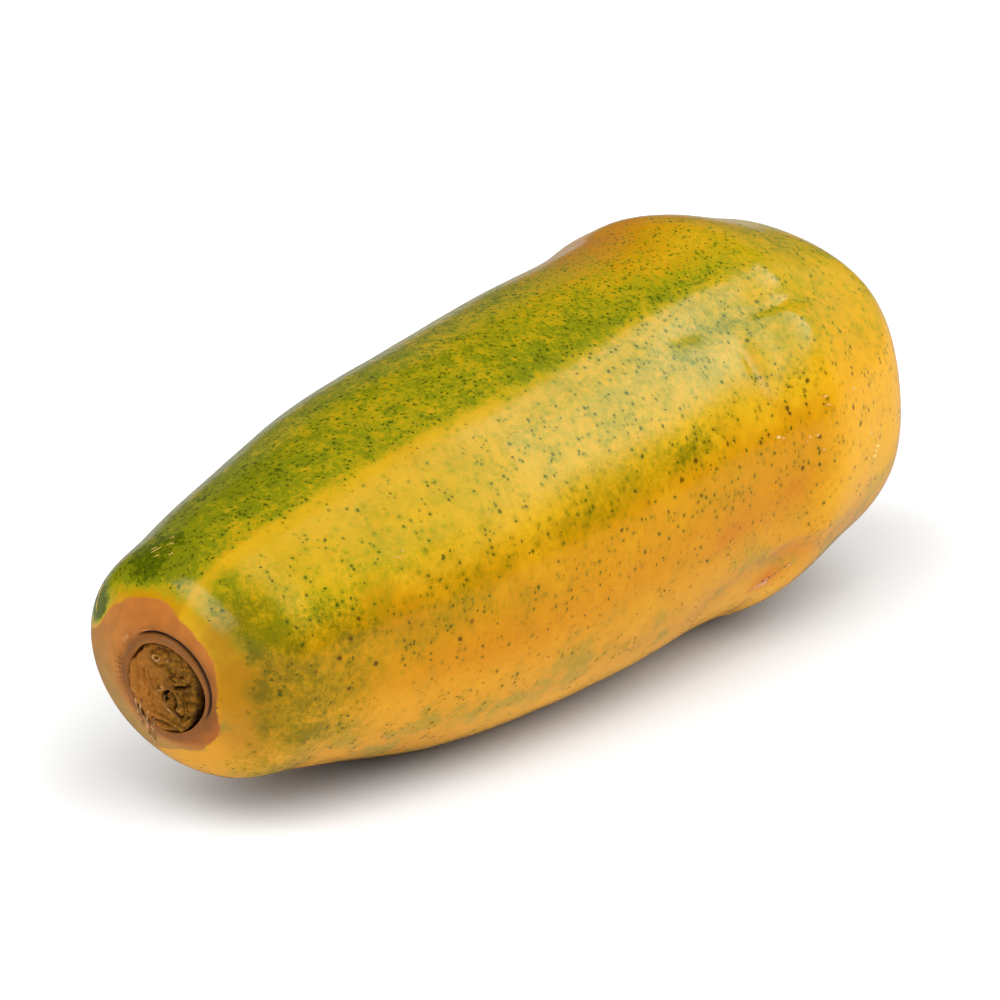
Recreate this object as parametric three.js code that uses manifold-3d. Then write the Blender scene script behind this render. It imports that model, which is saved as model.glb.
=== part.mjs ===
// A whole ripe papaya of the large, long kind, lying on its side, in millimetres, +Z up.
// The stalk end points to -X and the blossom end to +X. The origin is on the surface that
// the fruit rests on, under the middle of its box. Two solids: the fruit, which grew as one
// piece, and the stub of the stalk that stays in its socket when the fruit is cut.
import * as THREE from 'three';
import { mergeVertices } from 'three/addons/utils/BufferGeometryUtils.js';
import Module from 'manifold-3d';

const wasm = await Module();
wasm.setup();

// Driving dimensions. "Along" is the distance from the stalk face towards the blossom end;
// "turn" is the angle round the fruit, in degrees, from +Y towards +Z.
const LENGTH = 276;
const OUTLINE = [                               // [along, radius]
  [0, 0], [0, 11.6], [8.4, 28], [25, 33.6], [48, 39.7], [78, 46.8], [112, 50.4], [146, 52.8],
  [174, 53.3], [191, 54.4], [207, 56.3], [230, 51.2], [250, 45.2], [264, 32.1], [272.5, 19.9],
  [LENGTH, 6.4], [LENGTH, 0]];
const BOW = [-2.8, -1, -0.4, -0.3, 0.5, 1.9, 2.2, 0.3, -0.4];  // sideways shift of the axis
const BOW_SPACING = 35;                         // length between those shifts
const BOW_TURN = 58;                            // the side that the axis bows towards
const AXIS_SLOPE = 0.045;                       // rise of the axis towards the blossom end
const LEVEL = 140;                              // where the sloping axis is at its mean height
const REST_DEPTH = 51.5;                        // from that height down to the surface
const MIDDLE = { along: 136.5, y: 1.2 };        // the point of the axis over the origin

// The five shallow furrows between the carpels, strongest past the waist.
const FURROWS = [
  { turn: 60, depth: 0.4, start: 150 }, { turn: 132, depth: 1.0, start: 130 },
  { turn: 210, depth: 1.4, start: 135 }, { turn: 282, depth: 1.2, start: 140 },
  { turn: 354, depth: 1.2, start: 140 }];
const FURROW_WIDTH = 6.5;
const FURROW_RISE = 60;                         // length over which a furrow deepens
const FURROW_FADE = [222, 256];
const END_LOBE = { height: 1.1, turn: 64, from: 225, to: 262, fullRadius: 30 };
const CARPELS = 5;
const SWELLS = [                                // waist dimple, cheek, underside, far side
  { along: 178, turn: 146, reachAlong: 9, reachRound: 16, height: -1.3 },
  { along: 193, turn: 153, reachAlong: 16, reachRound: 14, height: 0.5 },
  { along: 180, turn: 270, reachAlong: 24, reachRound: 18, height: 1.6 },
  { along: 178, turn: 335, reachAlong: 22, reachRound: 38, height: 1.5 }];
const SWELL_RADIUS = 50;                        // radius at which reachRound is measured
const BLOSSOM_SCAR = { radius: 4, depth: 1.4, rimRadius: 7, rimWidth: 2, rimHeight: 0.5 };

// The stalk face leans, and its lean dies out along the fruit.
const FACE_LEAN = { down: 0.24, side: -0.03, reach: 45 };
const SOCKET = { radius: 10.9, depth: 7 };
const COLLAR = { radius: 11.7, width: 0.8, height: 0.5 };
const COLLAR_GROOVE = { radius: 12.9, width: 0.45, depth: 0.5 };

// The dry stub of the stalk: a plug with a worn, pitted face, shrunk away from one side.
const STUB = { radius: 10.5, clearance: 0.4, edge: 0.7, dome: 0.5 };
const STUB_SHRINK = { turn: 190, reach: 0.8, depth: 0.8 };
const STUB_PIT = { y: -0.8, z: -1.9, reach: 1.7, depth: 1.3 };
const STUB_KNOB = { y: -0.4, z: 8, reach: 1.6, height: 0.7 };
const STUB_RINGS = { y: -3.7, z: -5.6, spacing: 2.2, height: 0.25, reach: 5 };

// How finely the round forms are divided.
const SIDES = 70;
const STUB_SIDES = 48;
const STUB_FACE_RINGS = 9;
const MOUTH_STEPS = [0.95, 1, 1.04, 1.08, 1.13, 1.2, 1.4, 1.7];  // in spans of the outline
const BODY_STEPS = { from: 2, to: 14, size: 0.25 };
const TIP_STEPS = [14.3, 14.5, 14.7, 14.85, 15, 15.5, 16];

const outline = new THREE.SplineCurve(OUTLINE.map(([along, radius]) => new THREE.Vector2(radius, along)));
const bow = new THREE.SplineCurve(BOW.map((shift, i) => new THREE.Vector2(i, shift)));

function bell(distance, reach) {
  return Math.exp(-((distance / reach) ** 2));
}

// The signed angle between a turn in radians and one in degrees, in radians.
function angleFrom(turn, degrees) {
  const difference = turn - THREE.MathUtils.degToRad(degrees);
  return Math.atan2(Math.sin(difference), Math.cos(difference));
}

// How far the skin stands out from the round outline.
function relief(along, radius, turn) {
  const { smoothstep } = THREE.MathUtils;
  let height = 0;
  for (const { turn: middle, depth, start } of FURROWS) {
    const strength = smoothstep(along, start, start + FURROW_RISE) * (1 - smoothstep(along, ...FURROW_FADE));
    height -= depth * strength * bell(radius * angleFrom(turn, middle), FURROW_WIDTH);
  }
  height += END_LOBE.height * smoothstep(along, END_LOBE.from, END_LOBE.to)
    * Math.min(1, radius / END_LOBE.fullRadius) * Math.cos(CARPELS * angleFrom(turn, END_LOBE.turn));
  for (const swell of SWELLS) {
    height += swell.height * bell(along - swell.along, swell.reachAlong)
      * bell(SWELL_RADIUS * angleFrom(turn, swell.turn), swell.reachRound);
  }
  return height;
}

// How far the mouth of the socket and the blossom scar move the skin along the axis.
function endRelief(along, radius) {
  if (along < SOCKET.depth / 2) {
    return COLLAR_GROOVE.depth * bell(radius - COLLAR_GROOVE.radius, COLLAR_GROOVE.width)
      - COLLAR.height * bell(radius - COLLAR.radius, COLLAR.width);
  }
  if (along > LENGTH / 2) {
    return BLOSSOM_SCAR.rimHeight * bell(radius - BLOSSOM_SCAR.rimRadius, BLOSSOM_SCAR.rimWidth)
      - BLOSSOM_SCAR.depth * bell(radius, BLOSSOM_SCAR.radius);
  }
  return 0;
}

// Turns a point given by along, radius and turn into its place over the surface.
function place(along, radius, turn) {
  const bowTurn = THREE.MathUtils.degToRad(BOW_TURN);
  const across = radius * Math.cos(turn);
  const up = radius * Math.sin(turn);
  const towardsBow = across * Math.cos(bowTurn) + up * Math.sin(bowTurn);
  const besideBow = up * Math.cos(bowTurn) - across * Math.sin(bowTurn);
  const lean = bell(along, FACE_LEAN.reach)
    * (FACE_LEAN.down * towardsBow + FACE_LEAN.side * besideBow);
  const bowPart = THREE.MathUtils.clamp(along / (BOW_SPACING * (BOW.length - 1)), 0, 1);
  const shift = bow.getPoint(bowPart).y;
  return new THREE.Vector3(
    along - MIDDLE.along - lean,
    across + shift * Math.cos(bowTurn) - MIDDLE.y,
    up + shift * Math.sin(bowTurn) + AXIS_SLOPE * (along - LEVEL) + REST_DEPTH);
}

// Revolves a profile of (radius, along) points and moves each vertex by shape(along, radius, turn).
function revolve(profile, sides, shape) {
  const geometry = new THREE.LatheGeometry(profile, sides).rotateZ(-Math.PI / 2);
  geometry.deleteAttribute('normal');
  geometry.deleteAttribute('uv');
  const position = geometry.getAttribute('position');
  for (let i = 0; i < position.count; i += 1) {
    const y = position.getY(i);
    const z = position.getZ(i);
    const point = shape(position.getX(i), Math.hypot(y, z), Math.atan2(z, y));
    position.setXYZ(i, point.x, point.y, point.z);
  }
  return mergeVertices(geometry);
}

function toSolid(geometry) {
  return new wasm.Manifold(new wasm.Mesh({
    numProp: 3,
    vertProperties: new Float32Array(geometry.getAttribute('position').array),
    triVerts: new Uint32Array(geometry.getIndex().array),
  }));
}

function toGeometry(solid) {
  const mesh = solid.getMesh();
  const geometry = new THREE.BufferGeometry();
  geometry.setAttribute('position', new THREE.BufferAttribute(mesh.vertProperties, mesh.numProp));
  geometry.setIndex(new THREE.BufferAttribute(mesh.triVerts, 1));
  return geometry;
}

// Everything below the surface that the fruit rests on.
function ground() {
  const size = 2 * LENGTH;
  const geometry = new THREE.BoxGeometry(size, size, size).translate(0, 0, -size / 2);
  geometry.deleteAttribute('normal');
  geometry.deleteAttribute('uv');
  return mergeVertices(geometry);
}

function fruitShape(along, radius, turn) {
  const swollen = radius > 0 ? radius + relief(along, radius, turn) : 0;
  return place(along + endRelief(along, radius), swollen, turn);
}

// Skin and flesh in one piece: the socket of the stalk, the long body, and the flat spot below.
function fruit() {
  const spans = OUTLINE.length - 1;
  const steps = [...MOUTH_STEPS];
  for (let step = BODY_STEPS.from; step <= BODY_STEPS.to; step += BODY_STEPS.size) {
    steps.push(step);
  }
  steps.push(...TIP_STEPS);
  const profile = [
    new THREE.Vector2(0, SOCKET.depth),
    new THREE.Vector2(SOCKET.radius, SOCKET.depth),
    ...steps.map((step) => outline.getPoint(step / spans))];
  const body = toSolid(revolve(profile, SIDES, fruitShape));
  return toGeometry(body.subtract(toSolid(ground())));
}

// How far the face of the stub stands out: a pit, a small knob, and worn rings beside the pit.
function stubRelief(y, z) {
  const ringRadius = Math.hypot(y - STUB_RINGS.y, z - STUB_RINGS.z);
  return STUB.dome * (1 - Math.hypot(y, z) / STUB.radius)
    + STUB_KNOB.height * bell(Math.hypot(y - STUB_KNOB.y, z - STUB_KNOB.z), STUB_KNOB.reach)
    - STUB_PIT.depth * bell(Math.hypot(y - STUB_PIT.y, z - STUB_PIT.z), STUB_PIT.reach)
    + STUB_RINGS.height * Math.cos((2 * Math.PI * ringRadius) / STUB_RINGS.spacing)
      * bell(ringRadius, STUB_RINGS.reach);
}

function stubShape(along, radius, turn) {
  const shrunk = radius * (1 - (STUB_SHRINK.depth / STUB.radius)
    * bell(angleFrom(turn, STUB_SHRINK.turn), STUB_SHRINK.reach));
  if (along > 0) {
    return place(along, shrunk, turn);
  }
  return place(-stubRelief(shrunk * Math.cos(turn), shrunk * Math.sin(turn)), shrunk, turn);
}

// The plug, from the middle of its face over its rounded edge to its flat back.
function stalkStub() {
  const back = SOCKET.depth - STUB.clearance;
  const faceRadius = STUB.radius - STUB.edge;
  const profile = [];
  for (let i = 0; i <= STUB_FACE_RINGS; i += 1) {
    profile.push(new THREE.Vector2((faceRadius * i) / STUB_FACE_RINGS, 0));
  }
  profile.push(
    new THREE.Vector2(STUB.radius, STUB.edge),
    new THREE.Vector2(STUB.radius, back),
    new THREE.Vector2(0, back));
  return revolve(profile, STUB_SIDES, stubShape);
}

function addPiece(group, name, geometry, material) {
  geometry.computeVertexNormals();
  const mesh = new THREE.Mesh(geometry, material);
  mesh.name = name;
  group.add(mesh);
}

const skin = new THREE.MeshStandardMaterial({ color: 0xe0a21c, roughness: 0.38, metalness: 0 });
const dryStalk = new THREE.MeshStandardMaterial({ color: 0x8a6238, roughness: 0.85, metalness: 0 });

const papaya = new THREE.Group();
addPiece(papaya, 'fruit', fruit(), skin);
addPiece(papaya, 'stalk_stub', stalkStub(), dryStalk);

export default papaya;
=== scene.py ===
import bpy
import numpy as np
from mathutils import Matrix, Vector


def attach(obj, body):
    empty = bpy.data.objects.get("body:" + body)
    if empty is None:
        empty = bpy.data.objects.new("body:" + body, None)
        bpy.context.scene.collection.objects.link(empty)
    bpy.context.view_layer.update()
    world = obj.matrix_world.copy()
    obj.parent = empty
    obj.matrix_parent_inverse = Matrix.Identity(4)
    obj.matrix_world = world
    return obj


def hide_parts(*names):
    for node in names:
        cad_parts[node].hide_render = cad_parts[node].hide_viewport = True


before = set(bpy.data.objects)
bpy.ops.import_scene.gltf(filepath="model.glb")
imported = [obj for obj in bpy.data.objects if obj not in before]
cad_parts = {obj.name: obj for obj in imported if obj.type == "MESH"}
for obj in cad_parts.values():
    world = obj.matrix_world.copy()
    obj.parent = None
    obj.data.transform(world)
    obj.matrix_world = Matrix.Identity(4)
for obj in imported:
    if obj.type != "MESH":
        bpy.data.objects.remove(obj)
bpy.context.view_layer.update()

# --- The fruit -----------------------------------------------------------------------------
# Flesh and waxy skin, grown as one piece, with the skin half turned from green to yellow and
# orange: a long body with five faint carpels, the shallow socket that the stalk grew from, and
# the flat spot that the fruit lies on.

# "Along" runs from the stalk face to the blossom end. "Turn" is the angle round the fruit in
# degrees, from +Y towards +Z.
MM = 0.001
OUTLINE = [  # (along, radius)
    (0, 0), (0, 11.6), (8.4, 28), (25, 33.6), (48, 39.7), (78, 46.8), (112, 50.4), (146, 52.8),
    (174, 53.3), (191, 54.4), (207, 56.3), (230, 51.2), (250, 45.2), (264, 32.1), (272.5, 19.9),
    (276, 6.4), (276, 0)]
MOUTH_STEP = 0.95  # where the outline leaves the socket
BOW = [-2.8, -1, -0.4, -0.3, 0.5, 1.9, 2.2, 0.3, -0.4]  # how far the axis bows
BOW_SPACING = 35
BOW_TURN = 58  # the turn that it bows towards
AXIS_SLOPE = 0.045
LEVEL = 140  # where along the axis stands REST_DEPTH high
REST_DEPTH = 51.5
MIDDLE_ALONG = 136.5  # where along and how far aside the origin is
MIDDLE_Y = 1.2
FACE_LEAN_DOWN = 0.24
FACE_LEAN_SIDE = -0.03
FACE_LEAN_REACH = 45
FURROWS = [  # (turn, depth, where it starts and fades)
    (60, 0.4, 150, 222), (132, 1.0, 130, 222), (211, 1.2, 135, 198), (282, 1.2, 140, 222),
    (354, 1.2, 140, 222)]
FURROW_WIDTH = 6.5
FURROW_RISE = 60
FURROW_FADE = 34
SWELLS = [  # (along, turn, reach along, reach round, height)
    (177, 146, 9, 15, -0.5), (182, 144, 2.8, 8, -0.75), (199, 143, 11, 10, 1.0),
    (206, 122, 18, 6, 0.6), (190, 164, 16, 10, 0.3), (194, 200, 15, 2, 0.55),
    (193, 207, 13, 4, -0.5), (180, 270, 24, 18, 1.6), (178, 335, 22, 38, 1.5)]
SWELL_RADIUS = 50
CREASE = (127, 1.1, 3.4, 150, 226)  # turn, depth, width, where it starts and ends
CREASE_RAMP = 24
CREASE_VEER = (7, 175, 225)  # degrees, and where it veers off by them
LOBE_HEIGHT = 1.1
LOBE_RAMP = (225, 262)
LOBE_TURN = 64
CARPELS = 5
FULL_RADIUS = 30  # inside it, lobes and unevenness die out
SOCKET_RADIUS = 10.9
SOCKET_DEPTH = 7
UNEVENNESS = [(0.14, 23, 11, 5), (0.07, 9, 30, 6)]  # (height, spacing, count round, seed)
UNEVEN_FROM = (8, 20)  # how far along it begins and is full
SKIN_SINK = 0.13  # so that the bumps stay level with the outline
LUMPS_END = 300
FRUIT_SIDES = 288


def through(points, position):
    """The smooth curve through evenly numbered points: each span is a cubic that starts and
    ends at its two points, with a slope there of half the step between their neighbours."""
    points = np.asarray(points, float)
    last = len(points) - 1
    span = np.clip(np.floor(position).astype(int), 0, last - 1)
    part = position - span
    if points.ndim > 1:
        part = part[..., None]
    before = points[np.maximum(span - 1, 0)]
    here = points[span]
    ahead = points[span + 1]
    beyond = points[np.minimum(span + 2, last)]
    slope_here = (ahead - before) / 2
    slope_ahead = (beyond - here) / 2
    return ((2 * here - 2 * ahead + slope_here + slope_ahead) * part**3
            + (3 * ahead - 3 * here - 2 * slope_here - slope_ahead) * part**2
            + slope_here * part + here)


def round_table(values, turn):
    """A value for each turn: the smooth closed curve through values spaced evenly round the
    fruit, the first at turn 0."""
    values = np.asarray(values, float)
    wrapped = np.concatenate([values[-1:], values, values[:2]])
    return through(wrapped, (turn % 360) / 360 * len(values) + 1)


def bell(distance, reach):
    """e to the power of minus the square of distance over reach."""
    return np.exp(-(distance / reach) ** 2)


def rise(value, low, high):
    """Nought below low, one above high, and three squares less two cubes of the share between."""
    share = np.clip((value - low) / (high - low), 0, 1)
    return share * share * (3 - 2 * share)


def angle_from(turn, middle):
    """The signed angle from middle to turn, in radians, by the shorter way round."""
    return np.radians((turn - middle + 180) % 360 - 180)


def bell_round(turn, middle, reach):
    """A bell round the fruit: the angle from middle, in radians, over reach."""
    return bell(angle_from(turn, middle), reach)


def patch(along, turn, middle_along, middle_turn, reach_along, reach_round):
    """A soft oval patch on the skin: a bell along the fruit times a bell round it."""
    return (bell(along - middle_along, reach_along)
            * bell(SWELL_RADIUS * angle_from(turn, middle_turn), reach_round))


def relief(along, radius, turn):
    """How far the skin stands out from the round outline: minus five bell-shaped furrows that
    deepen past the waist and one fine crease, plus five low lobes round the blossom end, plus
    the swells."""
    height = np.zeros(np.broadcast(along, radius, turn).shape)
    for middle, depth, start, fade in FURROWS:
        strength = rise(along, start, start + FURROW_RISE)
        strength = strength * (1 - rise(along, fade, fade + FURROW_FADE))
        height -= depth * strength * bell(radius * angle_from(turn, middle), FURROW_WIDTH)
    crease_turn, depth, width, start, end = CREASE
    veer, veer_start, veer_end = CREASE_VEER
    strength = rise(along, start, start + CREASE_RAMP) * (1 - rise(along, end - CREASE_RAMP, end))
    crease_turn = crease_turn + veer * rise(along, veer_start, veer_end)
    height -= depth * strength * bell(radius * angle_from(turn, crease_turn), width)
    height += (LOBE_HEIGHT * rise(along, *LOBE_RAMP) * np.minimum(1, radius / FULL_RADIUS)
               * np.cos(CARPELS * angle_from(turn, LOBE_TURN)))
    for *oval, swell in SWELLS:
        height += swell * patch(along, turn, *oval)
    return height


def blended(lattice, row, column):
    """Values between lattice points, by the square-and-cube curve each way. The last column
    joins the first."""
    i = np.floor(row).astype(int)
    j = np.floor(column).astype(int)
    down = rise(row - i, 0, 1)
    over = rise(column - j, 0, 1)
    count = lattice.shape[1]
    near = lattice[i, j % count] * (1 - over) + lattice[i, (j + 1) % count] * over
    far = lattice[i + 1, j % count] * (1 - over) + lattice[i + 1, (j + 1) % count] * over
    return near * (1 - down) + far * down


def lumps(along, turn, spacing, count, seed):
    """Smooth random heights from -1 to 1: random values spaced so far along and so many round,
    blended in between."""
    rows = int(LUMPS_END / spacing) + 3
    lattice = np.random.RandomState(seed).uniform(-1, 1, (rows, count))
    return blended(lattice, np.clip(along / spacing, 0, rows - 2), (turn % 360) / 360 * count)


def place(along, radius, turn):
    """The point over the origin in millimetres: out from the axis by radius, moved sideways by
    the bow of the axis and up by its slope, and pushed along the fruit by the lean of the
    stalk face, which dies out as a bell."""
    angle = np.radians(turn)
    bow_angle = np.radians(BOW_TURN)
    across = radius * np.cos(angle)
    up = radius * np.sin(angle)
    towards_bow = across * np.cos(bow_angle) + up * np.sin(bow_angle)
    beside_bow = up * np.cos(bow_angle) - across * np.sin(bow_angle)
    lean = bell(along, FACE_LEAN_REACH) * (
        FACE_LEAN_DOWN * towards_bow + FACE_LEAN_SIDE * beside_bow)
    shift = through(BOW, np.clip(along / BOW_SPACING, 0, len(BOW) - 1))
    return np.stack([
        along - MIDDLE_ALONG - lean,
        across + shift * np.cos(bow_angle) - MIDDLE_Y,
        up + shift * np.sin(bow_angle) + AXIS_SLOPE * (along - LEVEL) + REST_DEPTH], axis=-1)


# The mouth of the socket isn't quite round, and a thin groove and a raised collar lie round it.
MOUTH_SHIFT = [-0.7, -0.9, -0.8, 0.0, 0.5, 0.6, 0.5, 0.5, 0.6, 0.6, 0.7, 1.4, 2.1, 2.0, 0.9, -0.2]
MOUTH_SHIFT_FADE = (13, 19)  # it fades out between these radii
MOUTH_SHIFT_END = (-8, -5)  # and down the socket between these depths
MOUTH_REACH = 3.5  # how far along its relief lies
COLLAR_RADIUS = 11.9
COLLAR_WIDTH = 0.9
COLLAR_HEIGHT = 0.4
GROOVE_RADIUS = 12.6
GROOVE_OFFSET = (0.9, 60)  # farther out by this much towards this turn
GROOVE_ENDS = [(55, 80), (195, 225)]
GROOVE_WIDTH = 0.3
GROOVE_DEPTH = 0.9
RUNGS = (8, 0.36, 62, 14.3, 1.1, 0.3)  # turn, reach, how many, radius, width, height
LINES = (2, 0.4, 6, 12.6, 2.4, 0.28)  # turn, reach, waves, radius, width, height
CREST = (76, 0.14, 14.0, 0.35, 0.35)  # turn, reach, radius, width, height
GRAINS = [(49, 0.05), (43, 0.04)]  # (turn, reach)
GRAIN_RADIUS = 14.9
GRAIN_WIDTH = 0.6
GRAIN_HEIGHT = 0.4
TIP_RIM = (0.5, 7, 2)  # depth, radius, width
TIP_SCAR = (1.4, 4)  # height, radius
STALK_SHIFT = (0.07, 25)  # how far in the stalk end lies, and its reach


def mouth_relief(radius, turn):
    """How far the skin round the socket sinks along the axis: a bell-shaped groove with open
    ends, less a collar inside it, less cosine wrinkles on the left that run out from the mouth
    as rungs and round it as lines, less a short crest and two grains above."""
    offset, offset_turn = GROOVE_OFFSET
    groove_radius = GROOVE_RADIUS + offset * np.cos(np.radians(turn - offset_turn))
    groove = GROOVE_DEPTH * rise(turn, *GROOVE_ENDS[0]) * (1 - rise(turn, *GROOVE_ENDS[1]))
    sink = groove * bell(radius - groove_radius, GROOVE_WIDTH)
    sink = sink - COLLAR_HEIGHT * bell(radius - COLLAR_RADIUS, COLLAR_WIDTH)
    middle, reach, count, rung_radius, width, rung_height = RUNGS
    left = bell_round(turn, middle, reach)
    rungs = np.cos(np.radians(turn) * count + radius) * bell(radius - rung_radius, width)
    middle, reach, count, line_radius, width, line_height = LINES
    lines = np.cos(radius * count) * bell_round(turn, middle, reach)
    lines = lines * bell(radius - line_radius, width)
    sink = sink - rung_height * left * rungs - line_height * lines
    middle, reach, crest_radius, width, crest_height = CREST
    crest = bell_round(turn, middle, reach) * bell(radius - crest_radius, width)
    grains = sum(bell_round(turn, *grain) for grain in GRAINS)
    return (sink - crest_height * crest
            - GRAIN_HEIGHT * grains * bell(radius - GRAIN_RADIUS, GRAIN_WIDTH))


def fruit_point(along, radius, turn):
    """The skin's point: the outline moved out by its relief and a little random unevenness,
    then along by the collar, the groove or the blossom scar, and cut flat at the floor."""
    wide = np.minimum(1, radius / FULL_RADIUS)
    uneven = sum(height * lumps(along, turn, *lattice) for height, *lattice in UNEVENNESS)
    uneven = (uneven - SKIN_SINK) * wide * rise(along, *UNEVEN_FROM)
    swollen = radius + relief(along, radius, turn) + uneven
    shift = round_table(MOUTH_SHIFT, turn) * (1 - rise(radius, *MOUTH_SHIFT_FADE))
    at_mouth = rise(-along, *MOUTH_SHIFT_END) * (radius > 0)
    sink = np.where(along < MOUTH_REACH, mouth_relief(radius, turn), 0.0)
    rim_depth, rim_radius, rim_width = TIP_RIM
    scar_height, scar_radius = TIP_SCAR
    tip = rim_depth * bell(radius - rim_radius, rim_width) - scar_height * bell(radius, scar_radius)
    sink = np.where(along > MIDDLE_ALONG, tip, sink)
    push, push_reach = STALK_SHIFT
    along = along + sink + push * bell(along, push_reach)
    point = place(along, swollen + shift * at_mouth, turn)
    point[..., 2] = np.maximum(point[..., 2], 0)
    return point


def shaped(name, corners, faces):
    """A smooth object of these faces between corners given in millimetres."""
    mesh = bpy.data.meshes.new(name)
    mesh.from_pydata((corners * MM).tolist(), [], faces)
    mesh.shade_smooth()
    mesh.update()
    piece = bpy.data.objects.new(name, mesh)
    bpy.context.scene.collection.objects.link(piece)
    return piece


def band_faces(ring, turned):
    """Four-sided faces between neighbouring rings of corners. Turned is ring, one step round."""
    return np.stack([ring[:-1], turned[:-1], turned[1:], ring[1:]], axis=-1).reshape(-1, 4).tolist()


def closed_grid(name, points):
    """A closed skin over a grid of points, rows by sides: four-sided faces between the rows,
    joined round, and a fan of triangles to the first and the last row, which are single points."""
    rows, sides = points.shape[:2]
    ring = np.arange(1, 1 + (rows - 2) * sides).reshape(rows - 2, sides)
    turned = np.roll(ring, -1, axis=1)
    end = np.full(sides, ring[-1, -1] + 1)
    first = np.stack([np.zeros(sides, int), turned[0], ring[0]], axis=-1).tolist()
    last = np.stack([end, ring[-1], turned[-1]], axis=-1).tolist()
    corners = np.concatenate([points[:1, 0], points[1:-1].reshape(-1, 3), points[-1:, 0]])
    return shaped(name, corners, band_faces(ring, turned) + first + last)


def give(piece, name, values):
    """Stores one number for each point of a closed grid, for its material to read."""
    numbers = np.concatenate([values[:1, 0], values[1:-1].ravel(), values[-1:, 0]])
    layer = piece.data.attributes.new(name, "FLOAT", "POINT")
    layer.data.foreach_set("value", numbers.astype(np.float32))


# Rows lie close together round the mouth of the socket, and wider apart from there on.
MOUTH_ROWS = 3.6  # how far from the mouth the closest rows reach
MOUTH_ROW_STEP = 0.2
RIM_ROWS = 20
RIM_ROW_STEP = 0.4
ROW_STEP = 1.2
fine_steps = np.linspace(MOUTH_STEP, len(OUTLINE) - 1, 6000)
fine_outline = through(OUTLINE, fine_steps)
gone = np.concatenate([[0], np.cumsum(np.hypot(*np.diff(fine_outline, axis=0).T))])
row_places = np.concatenate([
    np.arange(0, MOUTH_ROWS, MOUTH_ROW_STEP), np.arange(MOUTH_ROWS, RIM_ROWS, RIM_ROW_STEP),
    np.arange(RIM_ROWS, gone[-1] - ROW_STEP / 2, ROW_STEP), gone[-1:]])
profile = through(OUTLINE, np.interp(row_places, gone, fine_steps))
floor_rows = [(SOCKET_DEPTH, radius) for radius in (0, 5, 9, SOCKET_RADIUS)]
wall_rows = [(along, SOCKET_RADIUS) for along in (4.5, 2, 0.6)]
profile = np.concatenate([floor_rows, wall_rows, profile])
profile[-1, 1] = 0
skin_profile = profile[len(floor_rows) + len(wall_rows):]
fruit_along = np.repeat(profile[:, :1], FRUIT_SIDES, axis=1)
fruit_radius = np.repeat(profile[:, 1:], FRUIT_SIDES, axis=1)
fruit_turn = np.repeat(np.arange(FRUIT_SIDES)[None] * 360 / FRUIT_SIDES, len(profile), axis=0)
fruit = closed_grid("papaya_fruit", fruit_point(fruit_along, fruit_radius, fruit_turn))

# The bare scar round the stalk, terracotta turning to tan on the lower left: its edge is kept
# as the distance in millimetres that a point lies inside it. A green notch cuts into it on the
# upper left, and a yellow rim lies outside it.
SCAR_EDGE = [30, 25, 22.6, 21.8, 21.2, 18.3, 17, 15.6, 13.6, 14.2, 16.2, 17.6, 19.5, 24, 30, 32]
RIM_WIDTH = [0.5, 0.8, 1.2, 1.4, 1.5, 2.2, 4, 5.6, 4.8, 4.8, 4.4, 3.5, 2.5, 2, 1, 0.5]
NOTCH = (34, 0.16, 25.5, 2.0, 12)  # turn, reach, radius, width, depth
TAN_SIDE = (318, 1.25)  # turn, reach
TAN_FROM = (12, 19)  # the radii where the tan begins and is full
DEEP_SIDE = (228, 0.8)  # where its colour is deeper
SOFT_SIDE = (292, 0.75)  # where its edge wanders more
BROWN_RING = (12, 2.6, 8)  # radius, width, and how far in
WRINKLE_LIMITS = (-0.5, 1.0)
SCAR_REACH = 30  # past it, along or inwards, nothing is counted
inside = round_table(SCAR_EDGE, fruit_turn) - fruit_radius
notch_turn, notch_reach, notch_radius, notch_width, notch_depth = NOTCH
notch = bell_round(fruit_turn, notch_turn, notch_reach)
inside = inside - notch_depth * (notch * bell(fruit_radius - notch_radius, notch_width))
inside = np.where(fruit_along < SCAR_REACH, np.clip(inside, -SCAR_REACH, SCAR_REACH), -SCAR_REACH)
past_rim = -inside - round_table(RIM_WIDTH, fruit_turn)
give(fruit, "scar_inside", inside)
ring_radius, ring_width, ring_end = BROWN_RING
give(fruit, "scar_tan", bell_round(fruit_turn, *TAN_SIDE) * rise(fruit_radius, *TAN_FROM))
give(fruit, "scar_deep", bell_round(fruit_turn, *DEEP_SIDE))
give(fruit, "scar_soft", bell_round(fruit_turn, *SOFT_SIDE))
give(fruit, "mouth", bell(fruit_radius - ring_radius, ring_width) * (fruit_along < ring_end))
sink = mouth_relief(fruit_radius, fruit_turn) * (fruit_along < MOUTH_REACH)
collar = COLLAR_HEIGHT * bell(fruit_radius - COLLAR_RADIUS, COLLAR_WIDTH)
# How far the groove and wrinkles sink, kept for the painted shade in them and the painted light on
# their crests.
give(fruit, "wrinkled", np.clip(sink, *WRINKLE_LIMITS) + collar)

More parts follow.
